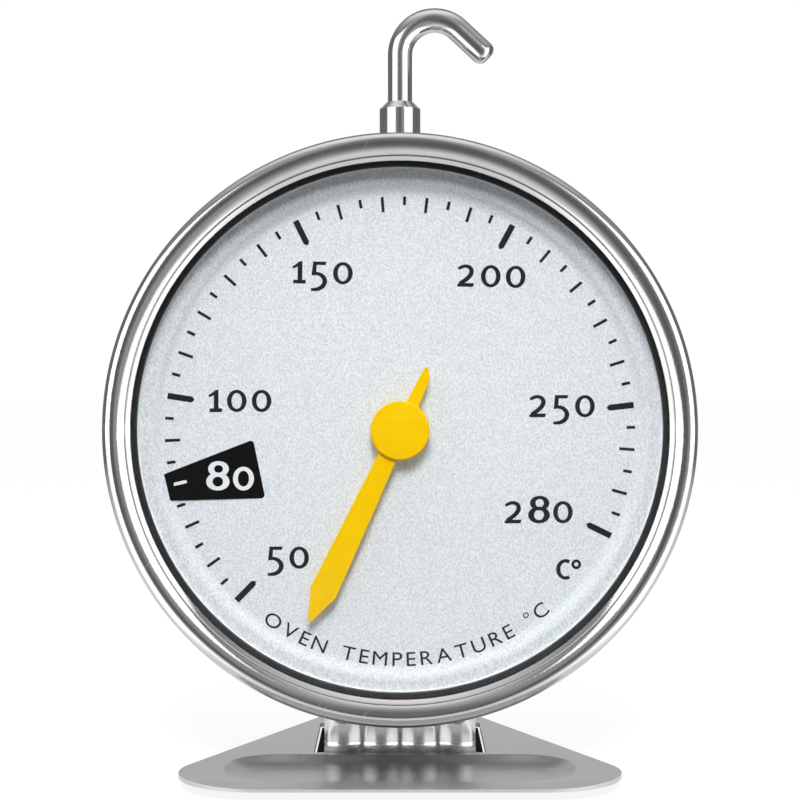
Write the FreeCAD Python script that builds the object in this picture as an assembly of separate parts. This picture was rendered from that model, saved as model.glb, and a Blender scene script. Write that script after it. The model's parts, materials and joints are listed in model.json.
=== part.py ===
"""Round dial oven thermometer with a hanging hook and a stamped stand.

Millimetres. +Z is up, the dial faces -Y and +X is to the right of someone reading it.
The origin is on the floor under the middle of the stand. Inside the case, a place along
the dial's axis is given as a depth behind the foremost point of the bezel.
"""
import FreeCAD
import Part

import math
import os

V = FreeCAD.Vector

# ---- driving dimensions ----
BEZEL_RADIUS = 30.0
DIAL_HEIGHT = 35.0
CASE_DEPTH = 8.4
FRONT_Y = -9.4
SHEET = 0.45

# ---- case, lens and dial ----
CUP_RADIUS = 28.8
CUP_INNER_RADIUS = CUP_RADIUS - SHEET
CUP_CORNER = 0.9
FLANGE_RADIUS = 29.1
FLANGE_DEPTH = 1.85
CREST_RADIUS = 29.0
BEAD = 1.0
SLOPE_BEND = 2.0
SLOPE_TILT = 40.0
LIP_RADIUS = 27.15
LIP_EDGE_DEPTH = 0.92
LIP_BACK_DEPTH = 1.3
GROOVE_WIDTH = 0.16
GROOVE_BOTTOM = 0.07
GROOVE_DEPTH = 0.13
LIP_DROP = 0.12
STACK_RADIUS = 28.2
LENS_THICKNESS = 1.2
GASKET_THICKNESS = 1.2
GASKET_INNER_RADIUS = 26.7
SPACER_THICKNESS = 0.3
SPACER_INNER_RADIUS = 26.57
SPACER_CHAMFER = 0.17
SPACER_CHAMFER_DEPTH = 0.06
DIAL_THICKNESS = 0.35
DIAL_STEP = 0.75
DIAL_FLAT_RADIUS = 23.85
DIAL_BRIM_RADIUS = 25.75
VENT_RADIUS = 1.1
VENT_CIRCLE = 12.5
VENT_COUNT = 8
SEAT_BALL = 1.05
SEAT_ANGLES = (35.0, 145.0, 215.0, 325.0)

LENS_DEPTH = LIP_BACK_DEPTH
GASKET_DEPTH = LENS_DEPTH + LENS_THICKNESS
SPACER_DEPTH = GASKET_DEPTH + GASKET_THICKNESS
BRIM_DEPTH = SPACER_DEPTH + SPACER_THICKNESS
DIAL_DEPTH = BRIM_DEPTH + DIAL_STEP
DIAL_BACK = DIAL_DEPTH + DIAL_THICKNESS
CUP_FLOOR = CASE_DEPTH - SHEET

# ---- pointer and bimetal movement ----
POINTER_ANGLE = 244.6
POINTER_TIP = 21.9
POINTER_SHOULDER = 18.2
POINTER_WIDE = 2.8
POINTER_NARROW = 1.8
POINTER_TAIL = 7.1
POINTER_TAIL_WIDE = 1.4
POINTER_TAIL_NARROW = 1.0
POINTER_THICKNESS = 0.2
POINTER_DEPTH = 3.3
HUB_RADIUS = 3.0
HUB_THICKNESS = 0.45
SPINDLE_RADIUS = 0.6
RUNNING_GAP = 0.05
COLLET_RADIUS = 1.6
COIL_TURNS = 5
COIL_PITCH = 1.2
COIL_STRIP = 0.3
COIL_DEPTH = 5.4
COIL_WIDTH = 1.3
BRIDGE_DEPTH = 7.0
BRIDGE_THICKNESS = 0.4
SPINDLE_END = 7.65
BRIDGE_WIDTH = 6.0
PILLAR_SPREAD = 12.5
PILLAR_RADIUS = 1.5
SCREW_RADIUS = 0.6
SCREW_HEAD_RADIUS = 1.3
SCREW_HEAD_HEIGHT = 0.35

# ---- hook ----
WIRE_RADIUS = 1.25
HOOK_DEPTH = 6.15
HOOK_BEND = 3.55
HOOK_TURN = 132.7
HOOK_TAIL = 4.3
HOOK_START = 38.5
FERRULE_RADIUS = 2.1
FERRULE_TOP = 33.7
FERRULE_CHAMFER = 0.75
FERRULE_SEAT = 30.2
SPIGOT_RADIUS = 0.8
WASHER_RADIUS = 1.4
WASHER_TOP = 28.22
WASHER_THICKNESS = 0.4

# ---- stand ----
PLATE_TOP = 1.4
PLATE_FRONT = -20.5
PLATE_REAR = 20.5
PLATE_FRONT_HALF = 26.2
PLATE_REAR_HALF = 8.57
PLATE_FRONT_CORNER = 8.2
PLATE_REAR_CORNER = 3.0
TRAY_FRONT = -17.4
TRAY_BACK = -3.6
TRAY_FRONT_HALF = 19.2
TRAY_BACK_HALF = 16.7
TRAY_FRONT_CORNER = 6.5
TRAY_BACK_CORNER = 5.0
TRAY_WALL = 2.6
PRESS_DEPTH = PLATE_TOP - SHEET
RIM_START = TRAY_FRONT - 0.25
RIM_DIP = 3.0
PRESS_LEVELS = 12
PRESS_FOLD = 0.12
PRESS_CROWDING = 1.7
REAR_FOOT_WALL = 1.1
REAR_FOOT_Y = 17.65
REAR_FOOT_RADIUS = 2.4
WINDOW_HALF = 8.95
WINDOW_FRONT = -2.7
WINDOW_REAR = 14.8
FLUTE_COUNT = 4
FLUTE_PITCH = 3.96
FLUTE_RISE = 0.85
FLUTE_TOP = 5.9
BEND_RADIUS = 0.85
BEND_RISE = 0.3
TAB_TOP = 15.5
TAB_CORNER = 2.5
WELD_SPOTS = ((-4.6, 9.4), (4.6, 9.4), (-4.6, 13.0), (4.6, 13.0))

TAB_HALF = FLUTE_PITCH * FLUTE_COUNT / 2
TAB_FRONT_Y = FRONT_Y + CASE_DEPTH
HOOK_Y = FRONT_Y + HOOK_DEPTH


# ---- helpers ----
def path(start, *steps):
    """Edges from a start point; a step of one point is a line and of two is an arc through the first."""
    edges = []
    here = start
    for step in steps:
        if len(step) == 1:
            edges.append(Part.LineSegment(here, step[0]).toShape())
        else:
            edges.append(Part.Arc(here, step[0], step[1]).toShape())
        here = step[-1]
    return edges


def turned(start, *steps):
    """Solid of revolution about the dial's axis, from a closed profile of (radius, depth) points."""
    def place(point):
        return V(point[0], FRONT_Y + point[1], DIAL_HEIGHT)

    placed = [[place(p) for p in step] for step in steps]
    edges = path(place(start), *placed, [place(start)])
    face = Part.Face(Part.Wire(edges))
    return face.revolve(V(0, 0, DIAL_HEIGHT), V(0, 1, 0), 360)


def disc(radius, depth, length, x=0.0, h=0.0):
    """Cylinder along the dial's axis, starting at a depth, centred x and h away from the axis."""
    return Part.makeCylinder(radius, length, V(x, FRONT_Y + depth, DIAL_HEIGHT + h), V(0, 1, 0))


def ring(outer, inner, depth, length):
    """Plain ring about the dial's axis."""
    return disc(outer, depth, length).cut(disc(inner, depth - 1, length + 2))


def post(radius, low, high, x=0.0, y=0.0):
    """Upright cylinder between two heights."""
    return Part.makeCylinder(radius, high - low, V(x, y, low))


def block(x0, x1, y0, y1, z0, z1):
    """Box between two corners."""
    return Part.makeBox(x1 - x0, y1 - y0, z1 - z0, V(x0, y0, z0))


def on_circle(centre, radius, degrees):
    """Point of a circle in a plane of two coordinates, as a pair."""
    angle = math.radians(degrees)
    return (centre[0] + radius * math.cos(angle), centre[1] + radius * math.sin(angle))


def rounded_outline(corners, radii, z):
    """Closed wire at height z round convex corners, each with its own tangent arc."""
    count = len(corners)
    starts, middles, ends = [], [], []
    for i in range(count):
        corner = V(*corners[i], z)
        back = (V(*corners[i - 1], z) - corner).normalize()
        ahead = (V(*corners[(i + 1) % count], z) - corner).normalize()
        half = back.getAngle(ahead) / 2
        reach = radii[i] / math.tan(half)
        inward = (back + ahead).normalize()
        starts.append(corner + back * reach)
        middles.append(corner + inward * (radii[i] / math.sin(half) - radii[i]))
        ends.append(corner + ahead * reach)
    edges = []
    for i in range(count):
        edges.append(Part.Arc(starts[i], middles[i], ends[i]).toShape())
        edges.append(Part.LineSegment(ends[i], starts[(i + 1) % count]).toShape())
    return Part.Wire(edges)


def inset(corners, radii, distance):
    """The same convex outline moved inwards by a distance, counter-clockwise corners."""
    count = len(corners)
    moved = []
    for i in range(count):
        here = V(*corners[i], 0)
        into = (here - V(*corners[i - 1], 0)).normalize()
        out = (V(*corners[(i + 1) % count], 0) - here).normalize()
        normal_in = V(-into.y, into.x, 0)
        normal_out = V(-out.y, out.x, 0)
        spread = 1 + normal_in.dot(normal_out)
        moved.append(here + (normal_in + normal_out) * (distance / spread))
    return [(p.x, p.y) for p in moved], [r - distance for r in radii]


def press_drop(share):
    """Depth of a pressed wall, that share of the way in: a tight fold at the lip, then a long hollow curve."""
    if share < PRESS_FOLD:
        return PRESS_DEPTH * share**2 / PRESS_FOLD
    return PRESS_DEPTH * (1 - (1 - share) ** 2 / (1 - PRESS_FOLD))


def pressed(section, wall, faceted):
    """Punch for a pressed recess: section(distance, z) gives the outline that far in from its lip."""
    wires = []
    for i in range(PRESS_LEVELS):
        share = (i / (PRESS_LEVELS - 1)) ** PRESS_CROWDING
        wires.append(section(wall * share, PLATE_TOP - press_drop(share)))
    return Part.makeLoft(wires, True, faceted)


# ---- case ----
def bezel_ring():
    """Rolled bezel: sloped inner lip, a groove, the round bead and a skirt curled under the flange."""
    crest = CREST_RADIUS
    bead = BEAD
    slope = SLOPE_BEND
    inner_slope = slope - SHEET
    slope_start = on_circle((crest, slope), slope, 270 - SLOPE_TILT)
    groove = (slope_start[0] - GROOVE_BOTTOM, slope_start[1] + GROOVE_DEPTH)
    lip_top = (slope_start[0] - GROOVE_WIDTH, slope_start[1] + LIP_DROP)
    lip_root = crest - math.sqrt(inner_slope**2 - (slope - LIP_BACK_DEPTH) ** 2)
    return turned(
        (LIP_RADIUS, LIP_BACK_DEPTH),
        [(LIP_RADIUS, LIP_EDGE_DEPTH)],
        [lip_top],
        [groove],
        [slope_start],
        [on_circle((crest, slope), slope, 270 - SLOPE_TILT / 2), (crest, 0)],
        [on_circle((crest, bead), bead, 315), (BEZEL_RADIUS, bead)],
        [(BEZEL_RADIUS, 1.6)],
        [(29.83, 2.3), (29.25, 2.72)],
        [(28.83, 2.75)],
        [(28.83, 2.32)],
        [(29.15, 2.32)],
        [(29.46, 2.1), (29.55, 1.7)],
        [(29.55, bead)],
        [on_circle((crest, bead), bead - SHEET, 315), (crest, SHEET)],
        [on_circle((crest, slope), inner_slope, 255), (lip_root, LIP_BACK_DEPTH)],
    )


def glass_lens():
    """Flat glass disc with small ground edges."""
    edge = 0.2
    back = LENS_DEPTH + LENS_THICKNESS
    return turned(
        (0, LENS_DEPTH),
        [(STACK_RADIUS - edge, LENS_DEPTH)],
        [(STACK_RADIUS, LENS_DEPTH + edge)],
        [(STACK_RADIUS, back - edge)],
        [(STACK_RADIUS - edge, back)],
        [(0, back)],
    )


def lens_gasket():
    """Flat black ring between the lens and the dial's spacer."""
    return ring(STACK_RADIUS, GASKET_INNER_RADIUS, GASKET_DEPTH, GASKET_THICKNESS)


def dial_spacer_ring():
    """Bright ring that presses on the dial's brim, its front edge chamfered towards the axis."""
    return turned(
        (SPACER_INNER_RADIUS, BRIM_DEPTH),
        [(SPACER_INNER_RADIUS, SPACER_DEPTH + SPACER_CHAMFER_DEPTH)],
        [(SPACER_INNER_RADIUS + SPACER_CHAMFER, SPACER_DEPTH)],
        [(STACK_RADIUS, SPACER_DEPTH)],
        [(STACK_RADIUS, BRIM_DEPTH)],
    )


def dial_plate():
    """Thin dial, flat in the middle, with an S-shaped step up to a flat brim."""
    bush_hole = 1.5
    middle = ((DIAL_FLAT_RADIUS + DIAL_BRIM_RADIUS) / 2, DIAL_DEPTH - DIAL_STEP / 2)
    run = (DIAL_BRIM_RADIUS - DIAL_FLAT_RADIUS) / 2
    bend = (run**2 + (DIAL_STEP / 2) ** 2) / DIAL_STEP
    tilt = math.degrees(math.asin(run / bend)) / 2
    foot = on_circle((DIAL_FLAT_RADIUS, DIAL_DEPTH - bend), bend, 90 - tilt)
    head = on_circle((DIAL_BRIM_RADIUS, BRIM_DEPTH + bend), bend, 270 - tilt)

    def behind(point):
        return (point[0], point[1] + DIAL_THICKNESS)

    return turned(
        (bush_hole, DIAL_DEPTH),
        [(DIAL_FLAT_RADIUS, DIAL_DEPTH)],
        [foot, middle],
        [head, (DIAL_BRIM_RADIUS, BRIM_DEPTH)],
        [(STACK_RADIUS, BRIM_DEPTH)],
        [(STACK_RADIUS, BRIM_DEPTH + DIAL_THICKNESS)],
        [behind((DIAL_BRIM_RADIUS, BRIM_DEPTH))],
        [behind(head), behind(middle)],
        [behind(foot), behind((DIAL_FLAT_RADIUS, DIAL_DEPTH))],
        [(bush_hole, DIAL_BACK)],
    )


def case_cup():
    """Drawn cup with a front flange, vents in its back, four seats for the dial and the hook's hole."""
    inner_corner = CUP_CORNER - SHEET
    wall_end = CASE_DEPTH - CUP_CORNER
    centre = (CUP_RADIUS - CUP_CORNER, wall_end)
    cup = turned(
        (0, CUP_FLOOR),
        [(centre[0], CUP_FLOOR)],
        [on_circle(centre, inner_corner, 45), (CUP_INNER_RADIUS, wall_end)],
        [(CUP_INNER_RADIUS, FLANGE_DEPTH)],
        [(FLANGE_RADIUS, FLANGE_DEPTH)],
        [(FLANGE_RADIUS, FLANGE_DEPTH + SHEET)],
        [(CUP_RADIUS, FLANGE_DEPTH + SHEET)],
        [(CUP_RADIUS, wall_end)],
        [on_circle(centre, CUP_CORNER, 45), (centre[0], CASE_DEPTH)],
        [(0, CASE_DEPTH)],
    )
    seat_depth = BRIM_DEPTH + DIAL_THICKNESS + 0.87
    for angle in SEAT_ANGLES:
        x, h = on_circle((0, 0), CUP_RADIUS, angle)
        centre = V(x, FRONT_Y + seat_depth, DIAL_HEIGHT + h)
        bump = Part.makeSphere(SEAT_BALL, centre).common(disc(CUP_RADIUS, 0, CASE_DEPTH))
        cup = cup.fuse(bump).cut(Part.makeSphere(SEAT_BALL - SHEET, centre))
    for i in range(VENT_COUNT):
        x, h = on_circle((0, 0), VENT_CIRCLE, 360 * (i + 0.5) / VENT_COUNT)
        cup = cup.cut(disc(VENT_RADIUS, CUP_FLOOR - 1, SHEET + 2, x, h))
    hole = post(SPIGOT_RADIUS + RUNNING_GAP, DIAL_HEIGHT + 27, DIAL_HEIGHT + 30, 0, HOOK_Y)
    return cup.cut(hole)


# ---- pointer and movement ----
def pointed_at_rest(shape):
    """Turns a shape drawn along +X about the dial's axis to the pointer's rest angle."""
    turned_shape = shape.copy()
    turned_shape.rotate(V(0, 0, DIAL_HEIGHT), V(0, 1, 0), -POINTER_ANGLE)
    return turned_shape


def pointer_blade():
    """Blade that widens towards a pointed tip, with a short tail cut at a slant."""
    y = FRONT_Y + POINTER_DEPTH
    half = POINTER_NARROW / 2
    tail = POINTER_TAIL_WIDE / 2
    end = POINTER_TAIL_NARROW / 2
    outline = [
        (-1.0, -half),
        (POINTER_SHOULDER, -POINTER_WIDE / 2),
        (POINTER_TIP, 0),
        (POINTER_SHOULDER, POINTER_WIDE / 2),
        (-1.0, half),
        (-HUB_RADIUS + 0.5, tail),
        (-POINTER_TAIL + 1.1, end),
        (-POINTER_TAIL, -end * 0.4),
        (-POINTER_TAIL + 0.3, -end),
        (-HUB_RADIUS + 0.5, -tail),
    ]
    points = [V(x, y, DIAL_HEIGHT + h) for x, h in outline]
    face = Part.Face(Part.makePolygon(points + points[:1]))
    blade = face.extrude(V(0, POINTER_THICKNESS, 0))
    boss = disc(HUB_RADIUS * 0.7, POINTER_DEPTH, POINTER_THICKNESS)
    hole = disc(SPINDLE_RADIUS, POINTER_DEPTH - 1, 3)
    return pointed_at_rest(blade.fuse(boss).cut(hole).removeSplitter())


def pointer_hub_cap():
    """Round cap over the blade, with a rounded front edge and a blind hole for the spindle."""
    edge = 0.2
    front = POINTER_DEPTH - HUB_THICKNESS
    cap = turned(
        (0, front),
        [(HUB_RADIUS - edge, front)],
        [on_circle((HUB_RADIUS - edge, front + edge), edge, 315), (HUB_RADIUS, front + edge)],
        [(HUB_RADIUS, POINTER_DEPTH)],
        [(0, POINTER_DEPTH)],
    )
    return cap.cut(disc(SPINDLE_RADIUS, front + edge, HUB_THICKNESS))


def pointer_spindle():
    """Straight spindle from inside the cap to the rear bush."""
    start = POINTER_DEPTH - HUB_THICKNESS + 0.2
    return disc(SPINDLE_RADIUS, start, SPINDLE_END - start)


def spindle_front_bush():
    """Flanged bush in the dial's centre hole."""
    body = disc(1.5, DIAL_DEPTH, DIAL_THICKNESS + 0.15)
    flange = disc(2.0, DIAL_DEPTH - 0.2, 0.2)
    return body.fuse(flange).cut(disc(SPINDLE_RADIUS + RUNNING_GAP, DIAL_DEPTH - 1, 3))


def spindle_rear_bush():
    """Flanged bush in the bridge."""
    body = disc(1.2, BRIDGE_DEPTH, BRIDGE_THICKNESS + 0.1)
    flange = disc(1.8, BRIDGE_DEPTH - 0.15, 0.15)
    return body.fuse(flange).cut(disc(SPINDLE_RADIUS + RUNNING_GAP, BRIDGE_DEPTH - 1, 3))


def coil_collet():
    """Collar pressed on the spindle, with a rear shoulder; the coil's inner end is held on it."""
    collar = disc(COLLET_RADIUS, COIL_DEPTH - 0.1, COIL_WIDTH + 0.1)
    shoulder = disc(1.1, COIL_DEPTH + COIL_WIDTH, 0.1)
    return collar.fuse(shoulder).cut(disc(SPINDLE_RADIUS, COIL_DEPTH - 1, COIL_WIDTH + 2))


def coil_edge(first_radius, y):
    """Spiral of half circles, each half a pitch wider than the last, and its end point."""
    edges = []
    radius = first_radius
    start_x = first_radius
    side = 1
    for _ in range(2 * COIL_TURNS):
        centre_x = start_x - side * radius
        middle = V(centre_x, y, DIAL_HEIGHT + side * radius)
        start = V(start_x, y, DIAL_HEIGHT)
        end_x = centre_x - side * radius
        edges.append(Part.Arc(start, middle, V(end_x, y, DIAL_HEIGHT)).toShape())
        start_x = end_x
        radius += COIL_PITCH / 2
        side = -side
    return edges, start_x


def bimetal_coil():
    """Flat spiral of bimetal strip, clear of the collet by the running gap."""
    y = FRONT_Y + COIL_DEPTH
    inner = COLLET_RADIUS + RUNNING_GAP
    inside, inside_end = coil_edge(inner, y)
    outside, outside_end = coil_edge(inner + COIL_STRIP, y)
    z = DIAL_HEIGHT
    first = Part.LineSegment(V(inner, y, z), V(inner + COIL_STRIP, y, z)).toShape()
    last = Part.LineSegment(V(inside_end, y, z), V(outside_end, y, z)).toShape()
    wire = Part.Wire(Part.__sortEdges__(inside + outside + [first, last]))
    return Part.Face(wire).extrude(V(0, COIL_WIDTH, 0))


def coil_end_x():
    """Where the coil's outer face ends, on the dial's horizontal line."""
    return coil_edge(COLLET_RADIUS + RUNNING_GAP + COIL_STRIP, 0)[1]


def coil_anchor_post():
    """Post on the bridge that the coil's outer end is welded to, with a flat for the strip."""
    radius = 0.9
    x = coil_end_x() + radius
    start = COIL_DEPTH - 0.05
    anchor = disc(radius, start, BRIDGE_DEPTH - start, x)
    strip = block(coil_end_x() - 1, coil_end_x(), FRONT_Y, FRONT_Y + BRIDGE_DEPTH, 30, 40)
    return anchor.cut(strip)


def movement_bridge():
    """Strip behind the coil with holes for the rear bush and two screws."""
    reach = PILLAR_SPREAD
    half = BRIDGE_WIDTH / 2
    y = FRONT_Y + BRIDGE_DEPTH
    strip = block(-reach, reach, y, y + BRIDGE_THICKNESS, DIAL_HEIGHT - half, DIAL_HEIGHT + half)
    for side in (-1, 1):
        strip = strip.fuse(disc(half, BRIDGE_DEPTH, BRIDGE_THICKNESS, side * reach))
    strip = strip.removeSplitter().cut(disc(1.2, BRIDGE_DEPTH - 1, 3))
    for side in (-1, 1):
        hole = disc(SCREW_RADIUS + RUNNING_GAP, BRIDGE_DEPTH - 1, 3, side * reach)
        strip = strip.cut(hole)
    return strip


def bridge_pillars():
    """Two tapped pillars soldered to the back of the dial."""
    pillars = []
    length = BRIDGE_DEPTH - DIAL_BACK
    for side in (-1, 1):
        pillar = disc(PILLAR_RADIUS, DIAL_BACK, length, side * PILLAR_SPREAD)
        bore = disc(SCREW_RADIUS, DIAL_BACK + 0.3, length, side * PILLAR_SPREAD)
        pillars.append(pillar.cut(bore))
    return Part.makeCompound(pillars)


def bridge_screws():
    """Two slotted cheese-head screws that hold the bridge on its pillars."""
    screws = []
    seat = BRIDGE_DEPTH + BRIDGE_THICKNESS
    for side in (-1, 1):
        x = side * PILLAR_SPREAD
        head = disc(SCREW_HEAD_RADIUS, seat, SCREW_HEAD_HEIGHT, x)
        slot_y = FRONT_Y + seat + 0.17
        slot = block(x - 2, x + 2, slot_y, slot_y + 1, DIAL_HEIGHT - 0.15, DIAL_HEIGHT + 0.15)
        slot.rotate(V(x, 0, DIAL_HEIGHT), V(0, 1, 0), 20 + 35 * side)
        shank = disc(SCREW_RADIUS, DIAL_BACK + 0.35, seat - DIAL_BACK - 0.35, x)
        screws.append(head.cut(slot).fuse(shank))
    return Part.makeCompound(screws)


# ---- hook ----
def hook_ferrule():
    """Chamfered collar brazed on the cup's wall, with a stepped bore for the hook's shank."""
    top = DIAL_HEIGHT + FERRULE_TOP
    shoulder = top - FERRULE_CHAMFER
    low = DIAL_HEIGHT + 27.5
    body = post(FERRULE_RADIUS, low, shoulder, 0, HOOK_Y)
    narrow = FERRULE_RADIUS - FERRULE_CHAMFER
    cone = Part.makeCone(FERRULE_RADIUS, narrow, FERRULE_CHAMFER, V(0, HOOK_Y, shoulder))
    inner_corner = (CUP_RADIUS - CUP_CORNER, CASE_DEPTH - CUP_CORNER)
    case = turned(
        (0, 0),
        [(CUP_RADIUS, 0)],
        [(CUP_RADIUS, inner_corner[1])],
        [on_circle(inner_corner, CUP_CORNER, 45), (inner_corner[0], CASE_DEPTH)],
        [(0, CASE_DEPTH)],
    )
    seat = DIAL_HEIGHT + FERRULE_SEAT
    wide_bore = post(WIRE_RADIUS + RUNNING_GAP, seat, top + 1, 0, HOOK_Y)
    narrow_bore = post(SPIGOT_RADIUS + RUNNING_GAP, low - 1, seat + 1, 0, HOOK_Y)
    return body.fuse(cone).removeSplitter().cut(case).cut(wide_bore).cut(narrow_bore)


def hook_wire():
    """Bent round wire with a rounded tip; its thinner spigot ends in a peened head inside the case."""
    bottom = DIAL_HEIGHT + FERRULE_SEAT + RUNNING_GAP
    start = DIAL_HEIGHT + HOOK_START
    centre = (HOOK_BEND, start)

    def at(point):
        return V(point[0], HOOK_Y, point[1])

    bend_end = on_circle(centre, HOOK_BEND, 180 - HOOK_TURN)
    bend_middle = on_circle(centre, HOOK_BEND, 180 - HOOK_TURN / 2)
    slope = math.radians(90 - HOOK_TURN)
    tail = (bend_end[0] + HOOK_TAIL * math.cos(slope), bend_end[1] + HOOK_TAIL * math.sin(slope))
    bend = [at(bend_middle), at(bend_end)]
    spine = Part.Wire(path(V(0, HOOK_Y, bottom), [at((0, start))], bend, [at(tail)]))
    section = Part.Wire(Part.makeCircle(WIRE_RADIUS, V(0, HOOK_Y, bottom), V(0, 0, 1)))
    wire = spine.makePipeShell([section], True, False)
    tip = [e for e in wire.Edges if (e.CenterOfMass - at(tail)).Length < 0.2]
    wire = wire.makeFillet(0.85, tip)
    washer_bottom = DIAL_HEIGHT + WASHER_TOP - WASHER_THICKNESS
    spigot = post(SPIGOT_RADIUS, washer_bottom - 0.1, bottom, 0, HOOK_Y)
    head = Part.makeCone(0.75, 1.1, 0.35, V(0, HOOK_Y, washer_bottom - 0.35))
    return wire.fuse(spigot).fuse(head).removeSplitter()


def hook_washer():
    """Washer pressed on the spigot under the cup's wall."""
    top = DIAL_HEIGHT + WASHER_TOP
    washer = post(WASHER_RADIUS, top - WASHER_THICKNESS, top, 0, HOOK_Y)
    return washer.cut(post(SPIGOT_RADIUS, top - 2, top + 2, 0, HOOK_Y))


# ---- stand ----
def plate_outline(z):
    """Foot's outer edge: wide and rounded in front, narrow behind."""
    corners = [
        (-PLATE_FRONT_HALF, PLATE_FRONT),
        (PLATE_FRONT_HALF, PLATE_FRONT),
        (PLATE_REAR_HALF, PLATE_REAR),
        (-PLATE_REAR_HALF, PLATE_REAR),
    ]
    radii = [PLATE_FRONT_CORNER] * 2 + [PLATE_REAR_CORNER] * 2
    return rounded_outline(corners, radii, z)


def tray_section(distance, z):
    """Outline of the pressed tray, that far in from its lip."""
    corners = [
        (-TRAY_FRONT_HALF, TRAY_FRONT),
        (TRAY_FRONT_HALF, TRAY_FRONT),
        (TRAY_BACK_HALF, TRAY_BACK),
        (-TRAY_BACK_HALF, TRAY_BACK),
    ]
    radii = [TRAY_FRONT_CORNER] * 2 + [TRAY_BACK_CORNER] * 2
    return rounded_outline(*inset(corners, radii, distance), z)


def rear_foot_section(distance, z):
    """Outline of the round dimple that carries the plate's rear end."""
    circle = Part.makeCircle(REAR_FOOT_RADIUS - distance, V(0, REAR_FOOT_Y, z))
    return Part.Wire(circle)


def flute_centres():
    """X of each flute's middle."""
    return [FLUTE_PITCH * (i + 0.5) - TAB_HALF for i in range(FLUTE_COUNT)]


def flute_radius():
    """Radius of a flute's front face, from its width and rise."""
    half = FLUTE_PITCH / 2
    return (half**2 + FLUTE_RISE**2) / (2 * FLUTE_RISE)


def flute_foot(x, front):
    """Bend from the plate up into one flute, about the flute's own upright axis."""
    radius = flute_radius()
    axis_y = TAB_FRONT_Y - FLUTE_RISE + radius
    bend_z = PLATE_TOP + BEND_RADIUS
    rise_end = bend_z + BEND_RISE
    reach = radius + BEND_RADIUS
    far = reach + 1.2
    outer_bend = BEND_RADIUS + SHEET

    def at(point):
        return V(x, axis_y - point[0], point[1])

    def bend_point(bend):
        return on_circle((reach, bend_z), bend, 225)

    edges = path(
        at((radius, rise_end)),
        [at((radius, bend_z))],
        [at(bend_point(BEND_RADIUS)), at((reach, PLATE_TOP))],
        [at((far, PLATE_TOP))],
        [at((far, PLATE_TOP - SHEET))],
        [at((reach, PLATE_TOP - SHEET))],
        [at(bend_point(outer_bend)), at((radius - SHEET, bend_z))],
        [at((radius - SHEET, rise_end))],
        [at((radius, rise_end))],
    )
    half = FLUTE_PITCH / 2
    spread = math.degrees(math.asin(half / (radius - SHEET))) + 1
    section = Part.Face(Part.Wire(edges))
    section.rotate(V(x, axis_y, 0), V(0, 0, 1), -spread)
    foot = section.revolve(V(x, axis_y, 0), V(0, 0, 1), 2 * spread)
    return foot.common(block(x - half, x + half, front, axis_y, 0, rise_end + 1))


def upright_tab():
    """Tab lanced out of the plate, flat behind the case and fluted below it."""
    back_y = TAB_FRONT_Y + SHEET
    low = PLATE_TOP + BEND_RADIUS + BEND_RISE
    corners = [(-TAB_HALF, low), (TAB_HALF, low), (TAB_HALF, TAB_TOP), (-TAB_HALF, TAB_TOP)]
    flat = rounded_outline(corners, [0.01, 0.01, TAB_CORNER, TAB_CORNER], 0)
    tab = Part.Face(flat).extrude(V(0, 0, SHEET))
    tab.rotate(V(0, 0, 0), V(1, 0, 0), 90)
    tab.translate(V(0, back_y, 0))
    radius = flute_radius()
    axis_y = TAB_FRONT_Y - FLUTE_RISE + radius
    shoulder = 2 * FLUTE_RISE

    def clipped(shape, face_y):
        """Keeps what is under a shoulder that slopes back from the flute's crest."""
        crest_y = face_y - FLUTE_RISE
        points = [
            V(-TAB_HALF, crest_y - 1, low),
            V(-TAB_HALF, crest_y - 1, FLUTE_TOP - shoulder * (1 + 1 / FLUTE_RISE)),
            V(-TAB_HALF, face_y + 1, FLUTE_TOP + shoulder / FLUTE_RISE),
            V(-TAB_HALF, face_y + 1, low),
        ]
        keep = Part.Face(Part.makePolygon(points + points[:1])).extrude(V(2 * TAB_HALF, 0, 0))
        return shape.common(keep)

    half = FLUTE_PITCH / 2
    top = FLUTE_TOP
    for x in flute_centres():
        cell = block(x - half, x + half, TAB_FRONT_Y - 1, TAB_FRONT_Y + 0.05, low, top)
        bulge = post(radius, low, top, x, axis_y).common(cell)
        tab = tab.fuse(clipped(bulge, TAB_FRONT_Y))
    for x in flute_centres():
        cell = block(x - half, x + half, TAB_FRONT_Y - 1, back_y + 0.2, low, top)
        hollow = post(radius - SHEET, low, top, x, axis_y).common(cell)
        tab = tab.cut(clipped(hollow, back_y))
    for x, z in WELD_SPOTS:
        tab = tab.cut(Part.makeSphere(1.6, V(x, back_y + 1.45, z)))
    return tab


def stand_plate():
    """One stamped sheet: foot plate with a dipped front rim, tray, rear dimple, window and its tab."""
    under = PLATE_TOP - SHEET
    plate = Part.Face(plate_outline(under)).extrude(V(0, 0, SHEET))
    above_rim = block(-PLATE_FRONT_HALF, PLATE_FRONT_HALF, 2 * PLATE_FRONT, RIM_START, PLATE_TOP, 2 * PLATE_TOP)
    above_rim.rotate(V(0, RIM_START, PLATE_TOP), V(1, 0, 0), RIM_DIP)
    plate = plate.cut(above_rim)
    tail_front = WINDOW_FRONT - 0.3
    plate = plate.cut(block(-WINDOW_HALF, WINDOW_HALF, WINDOW_FRONT, WINDOW_REAR, 0, 3))
    plate = plate.cut(block(-TAB_HALF, TAB_HALF, tail_front, WINDOW_FRONT + 1, 0, 3))
    tray = pressed(tray_section, TRAY_WALL, False)
    rear_foot = pressed(rear_foot_section, REAR_FOOT_WALL, True)
    for punch in (tray, rear_foot):
        pan = punch.copy()
        pan.translate(V(0, 0, -SHEET))
        plate = plate.fuse(pan).cut(punch)
    for x in flute_centres():
        plate = plate.fuse(flute_foot(x, tail_front))
    return plate.fuse(upright_tab()).removeSplitter()


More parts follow.
